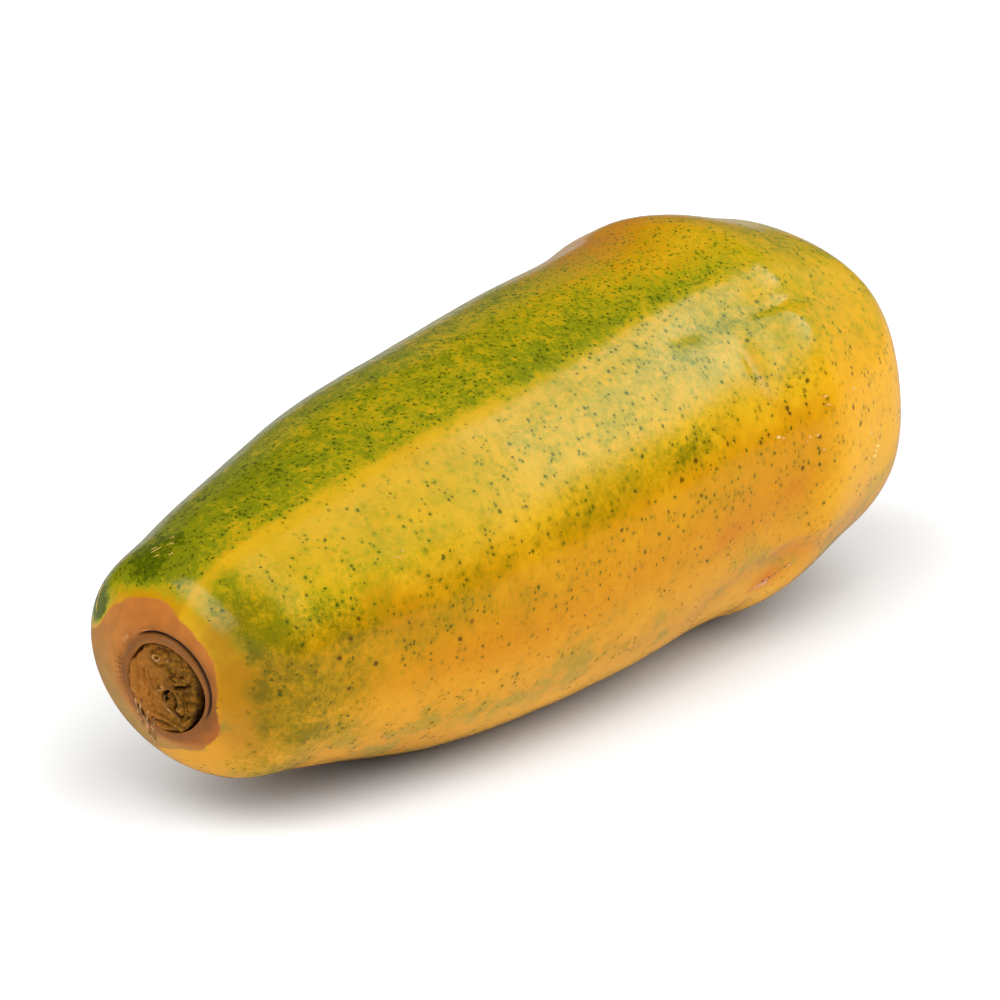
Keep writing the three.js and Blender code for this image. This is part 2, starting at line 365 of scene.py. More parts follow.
# How green the skin still is: a broad green back, darkest at the stalk and ripened in places,
# a yellow band with a green tint, and a few green patches left on the orange side.
GREEN_EDGE = [106, 109, 114, 116, 116, 116, 117, 120, 124]  # the turn where the back ends
GREEN_EDGE_SPACING = 35
GREEN_EDGE_BLUR = 3
BACK_BEGINS = (-75, 25)  # the turns where it begins on the far side and is full
BACK_RIPENS = (160, 225)  # from where to where along it turns half ripe
BAND_ENDS = (146, 162)  # the turns over which the band beside it ends
RIM_GREENS = (-2, 5)  # how far past the rim the green begins and is full
GREEN_PATCHES = [  # (along, turn, reach along, reach round, amount)
    (9, 74, 8, 13, 0.6), (28, 72, 22, 16, 0.16), (18, 106, 14, 7, -0.26),
    (7, 34, 4, 8, 1.4), (72, 92, 16, 9, -0.14), (112, 88, 26, 8, -0.14),
    (168, 92, 22, 8, -0.18), (190, 68, 44, 26, -0.5), (60, 119, 26, 6, -0.1),
    (156, 128, 44, 14, 0.16), (186, 120, 18, 5, 0.1), (104, 131, 10, 4, 0.12),
    (9, 122, 7, 10, 0.3), (10, 140, 6, 9, 0.4), (10, 160, 7, 10, 0.42),
    (13, 148, 4, 5, 0.3), (24, 152, 7, 7, 0.34), (30, 166, 10, 8, 0.44),
    (12, 182, 9, 12, 0.48), (25, 186, 10, 9, 0.34), (46, 178, 12, 8, 0.2),
    (62, 166, 14, 8, 0.26), (80, 178, 18, 6, 0.14), (13, 204, 10, 9, 0.5),
    (100, 162, 24, 4, 0.24), (126, 157, 26, 4, 0.2), (147, 157, 8, 3.4, 0.36),
    (186, 131, 24, 3, 0.3), (193, 139, 8, 3, 0.16), (46, 148, 9, 5, 0.14),
    (30, 212, 10, 8, 0.16), (10, 232, 12, 14, 0.4), (60, 212, 22, 7, 0.1),
    (120, 206, 24, 6, 0.12), (160, 172, 12, 8, 0.1), (70, 107, 14, 7, -0.16),
    (100, 107, 30, 7, -0.07), (150, 107, 20, 8, -0.08), (182, 105, 22, 9, -0.26),
    (128, 94, 13, 9, -0.16), (7, 151, 2.5, 7, 0.25), (4, 174, 2.5, 8, 0.34)]
RIPE_PATCHES = [
    (10, 140, 9, 14, 0.3), (8, 190, 6, 30, 0.2), (64, 185, 24, 8, 0.25),
    (185, 178, 24, 9, 0.3), (38, 156, 6, 8, 0.3), (85, 226, 24, 12, 0.15),
    (195, 208, 9, 6, 0.4), (182, 143, 3, 7, 0.5), (185, 74, 40, 16, 0.6),
    (228, 160, 26, 30, -0.5)]
BLUSH_PATCHES = [
    (70, 187, 34, 9, 0.32), (120, 184, 30, 7, 0.16), (168, 184, 26, 8, 0.3),
    (159, 187, 8, 3, 0.4), (187, 183, 5, 3, 0.4), (190, 217, 6, 3.5, 0.9),
    (196, 207, 12, 5, 0.45), (205, 166, 22, 12, 0.1), (182, 78, 26, 10, 0.3),
    (44, 168, 8, 5, 0.2)]
OLIVE_PATCHES = [(9, 138, 8, 12, 0.6)]
BACK_GREEN = 0.54  # how green the back and the band beside it are
BAND_GREEN = 0.13
BACK_MIDDLE = 85  # the turn at the middle of the green back


def patches(table):
    """The sum of soft oval patches over the fruit, each times its amount."""
    total = np.zeros(fruit_along.shape)
    for *oval, amount in table:
        total += amount * patch(fruit_along, fruit_turn, *oval)
    return total


edge = through(GREEN_EDGE, np.clip(fruit_along / GREEN_EDGE_SPACING, 0, len(GREEN_EDGE) - 1))
from_back = (fruit_turn + 90) % 360 - 90
back = 1 - rise(from_back, edge - GREEN_EDGE_BLUR, edge + GREEN_EDGE_BLUR)
back = back * rise(from_back, *BACK_BEGINS) * (1 - 0.5 * rise(fruit_along, *BACK_RIPENS))
band = rise(fruit_turn, edge - GREEN_EDGE_BLUR, edge + GREEN_EDGE_BLUR)
band = band * (1 - rise(fruit_turn, *BAND_ENDS))
green = BACK_GREEN * back + BAND_GREEN * band + patches(GREEN_PATCHES)
green = green * rise(past_rim, *RIM_GREENS)

# Ripe is how far the skin has gone from yellow to orange where it isn't green: half way on the
# back, little on the band beside it, far down the flank, and less again on the underside.
side = np.degrees(np.abs(angle_from(fruit_turn, BACK_MIDDLE)))
ripe = (0.1 + 0.8 * rise(side, 62, 84) - 0.25 * rise(side, 100, 130) + 0.4 * back
        + 0.25 * (1 - rise(past_rim, 0, 4)) + patches(RIPE_PATCHES))
olive = rise(side, 56, 80) + patches(OLIVE_PATCHES)
give(fruit, "tip", rise(fruit_along, 190, 215) * rise(side, 30, 60))
give(fruit, "olive", np.clip(olive, 0, 1) * (1 - back))
give(fruit, "green", green)
give(fruit, "ripe", ripe)
give(fruit, "blush", patches(BLUSH_PATCHES))

# Painted shade with a greyish painted sheen on the lower front, and a lighter tone on the
# underside past the waist: painted light that stands in for light thrown up from the table. The
# skin close beside the scar is darker.
far_fade = 1 - rise(fruit_turn, 300, 350)
past_waist = rise(fruit_along, 50, 110) * (1 - rise(fruit_along, 192, 216))
by_scar = rise(fruit_turn, 105, 140) * (1 - rise(fruit_turn, 215, 250)) * rise(-inside, -1, 1)
give(fruit, "shade_side", rise(fruit_turn, 182, 212) * far_fade)
give(fruit, "painted_bounce_light", rise(fruit_turn, 212, 228) * far_fade * past_waist)
give(fruit, "darker_by_scar", bell(fruit_along - 3, 4.5) * by_scar)

# How thickly the skin is dotted: crowded fine dots on the green back, wider-spaced larger ones
# on the yellow band and the front, brown spots past the middle, and short dashes low down.
DOT_PATCHES = [
    (175, 98, 50, 20, 0.45), (60, 74, 60, 20, -0.2), (245, 120, 26, 60, -0.15)]
BLOT_PATCHES = [
    (60, 135, 40, 14, 0.1), (120, 133, 50, 16, 0.36), (190, 131, 30, 10, 0.3),
    (30, 152, 16, 14, 0.1), (52, 168, 14, 13, 0.5), (110, 170, 40, 14, 0.42),
    (170, 172, 34, 18, 0.3), (215, 150, 24, 30, 0.2), (85, 204, 60, 10, 0.24),
    (18, 200, 12, 16, 0.3), (44, 116, 22, 5, -0.2)]
SPOT_PATCHES = [
    (165, 172, 36, 18, 0.7), (24, 168, 14, 18, 0.7), (200, 165, 20, 20, 0.5),
    (55, 182, 20, 10, 0.5)]
DASH_SIDE = (205, 0.3)  # turn, reach
DASHES_FROM = (30, 60)  # where along they begin, and where they end
DASHES_TO = (195, 225)
DASH_SLANT = (0.8, 0.6)  # cosine and sine of the way that dashes run
DASH_LENGTH = 4.2
DASH_WIDTH = 1.3
dot_share = 0.2 + 0.85 * back + patches(DOT_PATCHES)
blot_share = 0.3 + 0.35 * back - 0.12 * rise(side, 95, 120) + patches(BLOT_PATCHES)
give(fruit, "dots", dot_share * rise(past_rim, -1, 2))
give(fruit, "blots", blot_share * rise(past_rim, 0, 3))
give(fruit, "spots", 0.04 + patches(SPOT_PATCHES) * rise(past_rim, 0, 3))
dash_reach = rise(fruit_along, *DASHES_FROM) * (1 - rise(fruit_along, *DASHES_TO))
give(fruit, "dashes", bell_round(fruit_turn, *DASH_SIDE) * dash_reach)
gone_round = SWELL_RADIUS * np.radians(fruit_turn)
dash_along = fruit_along * DASH_SLANT[0] + gone_round * DASH_SLANT[1]
dash_across = fruit_along * DASH_SLANT[1] - gone_round * DASH_SLANT[0]
give(fruit, "dash_along", dash_along / DASH_LENGTH)
give(fruit, "dash_across", dash_across / DASH_WIDTH)


def colour(red, green, blue):
    """A colour given as it looks on a screen, 0 to 255, turned into linear light."""
    share = np.array([red, green, blue]) / 255
    return (*np.where(share < 0.04045, share / 12.92, ((share + 0.055) / 1.055) ** 2.4), 1.0)


def new_material(name):
    """A material with nothing in it but its output; returns it with its node tree."""
    material = bpy.data.materials.new(name)
    material.use_nodes = True
    material.node_tree.nodes.clear()
    return material, material.node_tree


def node(tree, kind, sockets, output=0, **settings):
    """Adds one shader node; each socket takes a value or another node's output."""
    made = tree.nodes.new(kind)
    for setting, value in settings.items():
        setattr(made, setting, value)
    for socket, value in sockets.items():
        if isinstance(value, bpy.types.NodeSocket):
            tree.links.new(value, made.inputs[socket])
        else:
            made.inputs[socket].default_value = value
    return made.outputs[output]


def finish_material(tree, shader):
    """Joins the finished shader to the material's output."""
    tree.links.new(shader, tree.nodes.new("ShaderNodeOutputMaterial").inputs["Surface"])


def arithmetic(tree, operation, first, second, clamp=False):
    """One step of arithmetic on two values, cut off at nought and one where it is clamped."""
    return node(tree, "ShaderNodeMath", {0: first, 1: second}, operation=operation, use_clamp=clamp)


def plus(tree, first, second):
    """The first value plus the second."""
    return arithmetic(tree, "ADD", first, second)


def minus(tree, first, second, clamp=False):
    """The first value less the second."""
    return arithmetic(tree, "SUBTRACT", first, second, clamp)


def times(tree, first, second, clamp=False):
    """The first value times the second."""
    return arithmetic(tree, "MULTIPLY", first, second, clamp)


def between(tree, value, low, high):
    """Nought at low and one at high, and a smooth step between."""
    return node(tree, "ShaderNodeMapRange", {"Value": value, "From Min": low, "From Max": high},
                interpolation_type="SMOOTHSTEP")


def blend(tree, share, first, second):
    """The two colours mixed: the first times one less share, plus the second times share."""
    return node(tree, "ShaderNodeMix", {0: share, 6: first, 7: second}, output=2, data_type="RGBA")


def lit(tree, tone, light):
    """A colour times a brightness."""
    return node(tree, "ShaderNodeVectorMath", {0: tone, "Scale": light}, operation="SCALE")


def stored(tree, name):
    """The number that a mesh keeps under this name."""
    return node(tree, "ShaderNodeAttribute", {}, output=2, attribute_name=name)


def own_place(tree):
    """The place of a point in the object's own frame."""
    return node(tree, "ShaderNodeTexCoord", {}, output=3)


def noise(tree, place_on, scale, detail=2.0, rough=0.5):
    """Cloudy noise on the object's own place, with scale features to the metre."""
    return node(tree, "ShaderNodeTexNoise",
                {"Vector": place_on, "Scale": scale, "Detail": detail, "Roughness": rough})


SPECK_ONSET = 4.0  # how fast specks come with the amount
SPECK_LEAST = 0.6  # the smallest, as a share of core
SPECK_EDGE = 0.08  # how soft their edge is, in cells


def specks(tree, place_on, scale, amount, core, reach):
    """Round specks scattered over the surface: the cells of a Voronoi pattern, each with a speck
    at its middle, of a random size, where the amount passes the cell's own random number.
    Returns the specks and the soft halo that fades out at reach round each."""
    cell = tree.nodes.new("ShaderNodeTexVoronoi")
    tree.links.new(place_on, cell.inputs["Vector"])
    cell.inputs["Scale"].default_value = scale
    chance = tree.nodes.new("ShaderNodeSeparateColor")
    tree.links.new(cell.outputs["Color"], chance.inputs[0])
    spare = minus(tree, amount, chance.outputs[0])
    shown = times(tree, spare, SPECK_ONSET, clamp=True)
    size = times(tree, plus(tree, chance.outputs[1], SPECK_LEAST), core)
    distance = cell.outputs["Distance"]
    depth = arithmetic(tree, "DIVIDE", minus(tree, size, distance), SPECK_EDGE, clamp=True)
    near = minus(tree, 1.0, arithmetic(tree, "DIVIDE", distance, reach), clamp=True)
    return times(tree, depth, shown), times(tree, near, shown)


def swung(tree, value, amount):
    """A noise value taken about its middle, times amount."""
    return times(tree, minus(tree, value, 0.5), amount)


skin, tree = new_material("papaya_skin")
here = own_place(tree)
clouds = noise(tree, here, 75, detail=3)
mottle = noise(tree, here, 260, detail=3, rough=0.6)
flecks = noise(tree, here, 800, detail=3, rough=0.7)
grain = noise(tree, here, 2400, detail=1)

# Fine dots, blots and spots are cells of three sizes, so many to the metre, each shaken out of
# place by up to half a millimetre. They keep a little green round them, and where they crowd
# together it runs together.
DOT_CELLS = 830
BLOT_CELLS = 520
SPOT_CELLS = 300
SHAKE = (0.0011, 0.0011, 0.0011)
shake = node(tree, "ShaderNodeTexNoise", {"Vector": here, "Scale": 900, "Detail": 2}, output=1)
shaken = node(tree, "ShaderNodeVectorMath", {0: shake, 1: SHAKE, 2: here}, operation="MULTIPLY_ADD")
crowding = swung(tree, noise(tree, here, 150, detail=2), 2.2)
dot_amount = plus(tree, stored(tree, "dots"), crowding)
dots, dot_halos = specks(tree, shaken, DOT_CELLS, dot_amount, 0.24, 0.7)
blot_amount = plus(tree, stored(tree, "blots"), times(tree, crowding, 0.6))
blots, blot_halos = specks(tree, shaken, BLOT_CELLS, blot_amount, 0.2, 0.7)
spots, spot_halos = specks(tree, shaken, SPOT_CELLS, stored(tree, "spots"), 0.17, 0.5)

# The noise swings the green by more where there is more of it, up to a limit.
unevenness = plus(tree, swung(tree, clouds, 1.1), swung(tree, mottle, 1.6))
unevenness = plus(tree, unevenness, swung(tree, flecks, 2.3))
unevenness = plus(tree, unevenness, swung(tree, grain, 0.8))
swing = plus(tree, times(tree, stored(tree, "green"), 1.2), 0.15)
swing = arithmetic(tree, "MINIMUM", swing, 0.64)
greenness = plus(tree, stored(tree, "green"), times(tree, unevenness, swing))
greenness = plus(tree, greenness, times(tree, dot_halos, 0.2))
greenness = plus(tree, greenness, times(tree, blot_halos, 0.3))
greenness = plus(tree, greenness, times(tree, spot_halos, 0.15))

RIPE_YELLOW = colour(208, 162, 20)
RIPE_ORANGE = colour(190, 130, 0)
TIP_GOLD = colour(216, 158, 14)
LIME = colour(160, 146, 10)
OLIVE_GOLD = colour(152, 118, 0)
LEAF_GREEN = colour(124, 126, 8)
OLIVE_BROWN = colour(122, 100, 0)
DEEP_GREEN = colour(80, 90, 0)
BLUSH_RED = colour(180, 92, 8)
SHADE_PEACH = colour(198, 136, 34)
SHADE_OLIVE = colour(156, 134, 48)
PAINTED_BOUNCE_PEACH = colour(232, 168, 42)
ripe_share = plus(tree, stored(tree, "ripe"), swung(tree, clouds, 1.0))
ripe_share = between(tree, plus(tree, ripe_share, swung(tree, mottle, 0.5)), 0.0, 1.0)
flesh_tone = blend(tree, ripe_share, RIPE_YELLOW, RIPE_ORANGE)
flesh_tone = blend(tree, stored(tree, "tip"), flesh_tone, TIP_GOLD)
# Painted shade with a greyish painted sheen on the lower front: darker, greyer peach and olive
# tones.
shade_share = between(tree, plus(tree, clouds, swung(tree, mottle, 0.5)), 0.5, 0.66)
shade_tone = blend(tree, shade_share, SHADE_PEACH, SHADE_OLIVE)
in_shade = times(tree, stored(tree, "shade_side"), 0.75)
flesh_tone = blend(tree, in_shade, flesh_tone, shade_tone)
# Painted light on the underside past the waist: a lighter tone that stands in for light thrown up
# from the table.
flesh_tone = blend(tree, stored(tree, "painted_bounce_light"), flesh_tone, PAINTED_BOUNCE_PEACH)
on_ripe = stored(tree, "olive")
lime_tone = blend(tree, on_ripe, LIME, OLIVE_GOLD)
leaf_tone = blend(tree, on_ripe, LEAF_GREEN, OLIVE_BROWN)
tone = blend(tree, between(tree, greenness, -0.06, 0.46), flesh_tone, lime_tone)
tone = blend(tree, between(tree, greenness, 0.36, 0.68), tone, leaf_tone)
tone = blend(tree, between(tree, greenness, 0.78, 1.2), tone, DEEP_GREEN)
blush_share = times(tree, stored(tree, "blush"), plus(tree, mottle, 0.5))
tone = blend(tree, times(tree, blush_share, 0.8, clamp=True), tone, BLUSH_RED)

DOT_GREEN = colour(58, 66, 6)
SPOT_BROWN = colour(84, 52, 6)
tone = blend(tree, times(tree, dots, 0.8), tone, DOT_GREEN)
tone = blend(tree, times(tree, blots, 0.72), tone, DOT_GREEN)
tone = blend(tree, times(tree, spots, 0.85), tone, SPOT_BROWN)
dash_place = node(tree, "ShaderNodeCombineXYZ",
                  {0: stored(tree, "dash_along"), 1: stored(tree, "dash_across")})
dash_amount = plus(tree, swung(tree, mottle, 1.6), 0.14)
dash_marks = specks(tree, dash_place, 1.0, dash_amount, 0.24, 0.7)[0]
dash_share = times(tree, times(tree, dash_marks, stored(tree, "dashes")), 0.75)
tone = blend(tree, dash_share, tone, DOT_GREEN)

grain_light = node(tree, "ShaderNodeMapRange", {"Value": flecks, "To Min": 0.8, "To Max": 1.2})
# Darker beside the scar.
darkening_by_scar = minus(tree, 1.0, times(tree, stored(tree, "darker_by_scar"), 0.28))
grain_light = times(tree, grain_light, darkening_by_scar)
tone = lit(tree, tone, grain_light)

SCAR_TERRACOTTA = colour(182, 104, 20)
SCAR_DEEP = colour(154, 78, 0)
SCAR_TAN = colour(154, 116, 50)
MOUTH_BROWN = colour(118, 72, 20)
GROOVE_PAINTED_SHADE = colour(50, 28, 8)
WRINKLE_PAINTED_LIGHT = colour(210, 150, 96)
scar_tone = blend(tree, stored(tree, "scar_deep"), SCAR_TERRACOTTA, SCAR_DEEP)
scar_tone = blend(tree, stored(tree, "scar_tan"), scar_tone, SCAR_TAN)
scar_tone = blend(tree, times(tree, stored(tree, "mouth"), 0.85), scar_tone, MOUTH_BROWN)
scar_light = node(tree, "ShaderNodeMapRange", {"Value": mottle, "To Min": 0.66, "To Max": 1.28})
scar_tone = lit(tree, scar_tone, scar_light)
# Painted shade: the sunken groove and wrinkles darkened. Painted light: their raised crests
# lighter.
in_painted_groove_shade = between(tree, stored(tree, "wrinkled"), 0.05, 0.7)
scar_tone = blend(tree, in_painted_groove_shade, scar_tone, GROOVE_PAINTED_SHADE)
on_painted_wrinkle_light = times(tree, between(tree, stored(tree, "wrinkled"), -0.05, -0.4), 0.45)
scar_tone = blend(tree, on_painted_wrinkle_light, scar_tone, WRINKLE_PAINTED_LIGHT)
ragged = plus(tree, stored(tree, "scar_inside"), swung(tree, mottle, 2.4))
softer = plus(tree, ragged, times(tree, stored(tree, "scar_soft"), swung(tree, clouds, 9.0)))
in_scar = between(tree, softer, -0.3, 0.4)
tone = blend(tree, in_scar, tone, scar_tone)

gloss = node(tree, "ShaderNodeMapRange", {"Value": mottle, "To Min": 0.09, "To Max": 0.2})
gloss = plus(tree, gloss, times(tree, in_scar, 0.28))
pores = noise(tree, here, 1400, detail=2)
fine_height = plus(tree, times(tree, pores, 0.35), mottle)
fine_height = minus(tree, fine_height, times(tree, blots, 0.25))
bump = node(tree, "ShaderNodeBump", {"Strength": 0.35, "Distance": 0.0002, "Height": fine_height})
skin_shader = node(tree, "ShaderNodeBsdfPrincipled",
                   {"Base Color": tone, "Roughness": gloss, "IOR": 1.33, "Normal": bump})
finish_material(tree, skin_shader)
fruit.data.materials.append(skin)
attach(fruit, "root")
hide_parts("fruit")

# --- The stub of the stalk -----------------------------------------------------------------
# What is left of the stalk in its socket: dry, shrunken and wrinkled, with a pit where its
# strands have broken out. It has come away from the fruit on one side and still joins it on
# the other.
STUB_EDGE = [  # its radius, every 22.5 degrees from turn 0
    9.9, 9.7, 9.7, 10.7, 11.1, 11.0, 10.3, 9.4, 8.6, 8.7, 9.9, 11.8, 12.8, 12.9, 11.4, 10.2]
STUB_NECK = 3.0  # how far in it narrows to fit the socket
STUB_BACK = 6.5
STUB_PLAY = 0.4
STUB_SIDES = 360
STUB_OUT = 0.47  # how far the middle of its face stands out
STUB_SLOPE_ACROSS = 0.075
STUB_SLOPE_UP = 0.03
STUB_EDGE_DROP = 1.0
CRUMPLE_CELLS = 64


def crumple(y, z, size, seed):
    """Smooth random heights from -1 to 1 over the face: random values on a square lattice of
    this spacing, its middle at the middle of the face, blended in between."""
    lattice = np.random.RandomState(seed).uniform(-1, 1, (CRUMPLE_CELLS, CRUMPLE_CELLS))
    middle = CRUMPLE_CELLS / 2
    return blended(lattice.T, z / size + middle, y / size + middle)


def line_distance(y, z, path):
    """The distance from each point of the face to the nearest of a line of straight pieces:
    square to the piece, or to its nearer end."""
    nearest = np.full(np.shape(y), np.inf)
    for (y0, z0), (y1, z1) in zip(path[:-1], path[1:]):
        across = y1 - y0
        up = z1 - z0
        share = ((y - y0) * across + (z - z0) * up) / (across ** 2 + up ** 2)
        share = np.clip(share, 0, 1)
        nearest = np.minimum(nearest, np.hypot(y - y0 - share * across, z - z0 - share * up))
    return nearest


CREASES = [  # (depth, half width, points across and up)
    (0.9, 0.5, [(-2.6, -0.4), (-4.0, 0.0), (-5.3, 0.2), (-6.9, 1.2)]),
    (2.2, 0.6, [(0.9, -2.7), (0.1, -2.2), (-0.1, -3.2), (0.4, -3.6)]),
    (1.4, 0.45, [(0.1, -2.0), (-0.8, -1.4), (-2.1, -2.6), (-2.4, -4.6), (-1.6, -6.4),
                 (-2.8, -7.8)]),
    (0.5, 0.3, [(-3.4, -1.4), (-4.7, -3.2), (-4.9, -5.4), (-4.0, -7.4), (-3.0, -8.6)]),
    (0.5, 0.3, [(-4.2, -1.0), (-5.6, -3.2), (-5.8, -5.8), (-4.8, -8.2)]),
    (0.45, 0.3, [(-5.2, -1.2), (-6.7, -3.6), (-6.7, -6.2)]),
    (0.7, 0.4, [(4.0, -7.6), (2.0, -8.2), (-0.4, -9.4), (-2.6, -9.8)]),
    (0.8, 0.45, [(5.0, -9.6), (2.4, -10.4), (-1.6, -11.4), (-3.4, -10.6)]),
    (0.8, 0.4, [(-1.4, 5.8), (0.6, 5.2), (2.2, 6.4), (2.1, 8.6), (0.4, 9.9), (-2.6, 9.4)]),
    (0.8, 0.35, [(-1.6, 4.8), (-2.9, 3.4), (-1.9, 2.2), (-3.2, 1.4)]),
    (0.6, 0.3, [(-3.9, 4.4), (-3.1, 2.8), (-4.4, 2.6), (-5.6, 3.2)]),
    (0.5, 0.35, [(6.4, 6.2), (6.9, 3.0), (6.6, 0.4), (7.2, -2.2)]),
    (0.45, 0.25, [(5.2, 3.6), (5.0, 0.8), (4.2, -1.8), (4.8, -3.6)]),
    (0.45, 0.25, [(3.8, 3.2), (3.4, 0.6), (2.6, -1.2)]),
    (0.4, 0.25, [(2.4, 2.6), (2.0, 0.4), (1.2, -1.0)]),
    (0.5, 0.35, [(3.4, -3.4), (4.2, -5.2), (3.6, -7.0)])]
KNOB = (0.3, 7.6, 1.3)  # across, up, and how much wider than high
KNOB_RING = (0.9, 0.5, 0.8)  # radius, width, height
KNOB_DIP = (0.4, 0.3)  # width, depth
ARCS = (-2.4, -4.6, 6.5)  # across and up to their middle, waves
ARCS_AT = (4, 2.0, 0.18)  # radius, width, height
ARCS_FROM = (1, 4)  # how far left they begin and are full
LINES_AT = (4, 2.0, 3.4, 0.07)  # across, width, half their length, height
LINE_WAVES = 7
LINE_BENDS = (1.2, 3.0, 14)  # size, spacing, seed
CRUMPLES = [(0.42, 2.6, 11), (0.3, 1.2, 12), (0.16, 0.55, 13)]  # (height, spacing, seed)


def smooth_stub(y, z):
    """How far the face would stand out with no folds: a plane, farther out towards +Y and
    farther in upwards."""
    return STUB_OUT + STUB_SLOPE_ACROSS * y - STUB_SLOPE_UP * z


def stub_height(y, z):
    """How far the face stands out: the sloping plane, plus the knob's ring less its middle,
    less the creases, plus cosine arcs below the pit, plus fine upright cosine lines beside the
    pit and crumpling in three sizes."""
    knob_y, knob_z, squash = KNOB
    ring_radius, ring_width, ring_height = KNOB_RING
    dip_width, dip_depth = KNOB_DIP
    from_knob = np.hypot(y - knob_y, (z - knob_z) * squash)
    height = smooth_stub(y, z) + ring_height * bell(from_knob - ring_radius, ring_width)
    height = height - dip_depth * bell(from_knob, dip_width)
    for depth, half_width, path in CREASES:
        height = height - depth * bell(line_distance(y, z, path), half_width)
    arcs_y, arcs_z, waves = ARCS
    radius, width, arc_height = ARCS_AT
    from_arcs = np.hypot(y - arcs_y, z - arcs_z)
    arcs = np.cos(from_arcs * waves) * bell(from_arcs - radius, width) * rise(-y, *ARCS_FROM)
    lines_y, width, half_length, line_height = LINES_AT
    bend, *bends = LINE_BENDS
    lines = np.cos(y * LINE_WAVES + bend * crumple(y, z, *bends))
    lines = lines * bell(y - lines_y, width) * bell(z, half_length)
    height = height + arc_height * arcs + line_height * lines
    return height + sum(size * crumple(y, z, *rest) for size, *rest in CRUMPLES)


# Rows of the face, as shares of its radius: closer together where its edge drops away.
shares = np.concatenate([np.linspace(0, 0.93, 92), [0.955, 0.975, 0.99, 1.0]])
stub_turn = np.repeat(np.arange(STUB_SIDES)[None] * 360 / STUB_SIDES, len(shares), axis=0)
stub_radius = shares[:, None] * round_table(STUB_EDGE, stub_turn)
stub_y = stub_radius * np.cos(np.radians(stub_turn))
stub_z = stub_radius * np.sin(np.radians(stub_turn))
edge_drop = STUB_EDGE_DROP * rise(shares, 0.86, 1.0)[:, None] ** 2
stub_out = stub_height(stub_y, stub_z) - edge_drop
stub_along = np.concatenate([-stub_out, np.full((1, STUB_SIDES), STUB_NECK),
                             np.full((2, STUB_SIDES), STUB_BACK)])
tuck = np.minimum(stub_radius[-1:], SOCKET_RADIUS - STUB_PLAY)
stub_radius = np.concatenate([stub_radius, tuck, tuck, np.zeros((1, STUB_SIDES))])
stub_turn = np.concatenate([stub_turn, stub_turn[:3]])
stub = closed_grid("papaya_stalk_stub", place(stub_along, stub_radius, stub_turn))
# How far each point of the face lies below its smooth plane, kept for the painted shade in the
# folds and the painted light on their ridges.
sunk = smooth_stub(stub_y, stub_z) - stub_out
out_of_sight = (3, STUB_SIDES)  # the rows behind the edge of the face
give(stub, "sunk", np.concatenate([sunk, np.ones(out_of_sight)]))
# The left half of the face, for the painted light on it.
give(stub, "painted_lit_half", np.concatenate([rise(stub_y, -4, 6), np.zeros(out_of_sight)]))

dry_stalk, tree = new_material("papaya_dry_stalk")
here = own_place(tree)
STUB_OLIVE = colour(92, 58, 0)
STUB_TAN = colour(140, 92, 14)
STUB_LIT_RED = colour(160, 98, 30)
STUB_RIDGE_LIGHT = colour(190, 146, 92)
STUB_HOLLOW_SHADE = colour(26, 14, 4)
grain = noise(tree, here, 700, detail=3, rough=0.7)
stub_tone = blend(tree, between(tree, grain, 0.38, 0.66), STUB_OLIVE, STUB_TAN)
# Painted light: the left half of the face lighter and redder, as if lit.
lit_side = times(tree, stored(tree, "painted_lit_half"), 0.7)
stub_tone = blend(tree, lit_side, stub_tone, STUB_LIT_RED)
# Painted light on the ridges of the folds and painted shade in their hollows.
painted_ridge_light = times(tree, between(tree, stored(tree, "sunk"), -0.35, -0.9), 0.7)
stub_tone = blend(tree, painted_ridge_light, stub_tone, STUB_RIDGE_LIGHT)
painted_hollow_shade = between(tree, stored(tree, "sunk"), 0.25, 1.5)
stub_tone = blend(tree, painted_hollow_shade, stub_tone, STUB_HOLLOW_SHADE)
stub_bump = node(tree, "ShaderNodeBump", {"Strength": 0.7, "Distance": 0.0004, "Height": grain})
stub_shader = node(tree, "ShaderNodeBsdfPrincipled",
                   {"Base Color": stub_tone, "Roughness": 0.6, "IOR": 1.2, "Normal": stub_bump})
finish_material(tree, stub_shader)
stub.data.materials.append(dry_stalk)
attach(stub, "root")
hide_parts("stalk_stub")

# --- Torn fibres of the stalk --------------------------------------------------------------
# Pale dry strands: a fine one curls out of the pit in the stub and lies down its face, and a
# few hang from its lower edge over the collar. Grown with the stub and still joined to it.
FIBRES = [  # (thickness, points across, up and lift)
    (0.17, [(0.9, -3.0, 0.3), (0.1, -4.4, 0.7), (-0.8, -6.2, 0.6), (-2.2, -7.8, 0.4),
            (-3.6, -8.8, 0.7), (-4.0, -9.4, 0.3)]),
    (0.13, [(1.8, -2.6, 0.1), (1.3, -1.4, 0.4), (0.2, -0.8, 0.4), (-0.8, -1.3, 0.3),
            (-1.2, -2.2, 0.1)]),
    (0.3, [(6.6, -5.0, 0.2), (7.8, -8.6, 0.5), (7.6, -12.0, 0.5), (9.0, -15.0, 0.4),
           (9.2, -18.6, 0.3)]),
    (0.26, [(5.0, -7.5, 0.2), (6.4, -10.4, 0.6), (6.2, -13.4, 0.6), (8.0, -16.2, 0.5),
            (9.3, -19.4, 0.3)]),
    (0.2, [(7.8, -4.6, 0.2), (9.2, -8.8, 0.4), (9.6, -12.2, 0.4), (11.4, -15.0, 0.3)]),
    (0.2, [(3.8, -9.0, 0.2), (5.0, -11.6, 0.5), (6.9, -13.2, 0.5), (7.2, -15.8, 0.3)])]
FIBRE_TIP = 0.4  # share of its thickness left at its end
TUBE_SIDES = 10
TUBE_STEPS = 12  # rings from one point of a tube to the next
SHOULDER_ROWS = 73  # rows over which the fruit only grows wider
FACE_MARGIN = 0.8  # how far inside its edge the face still counts


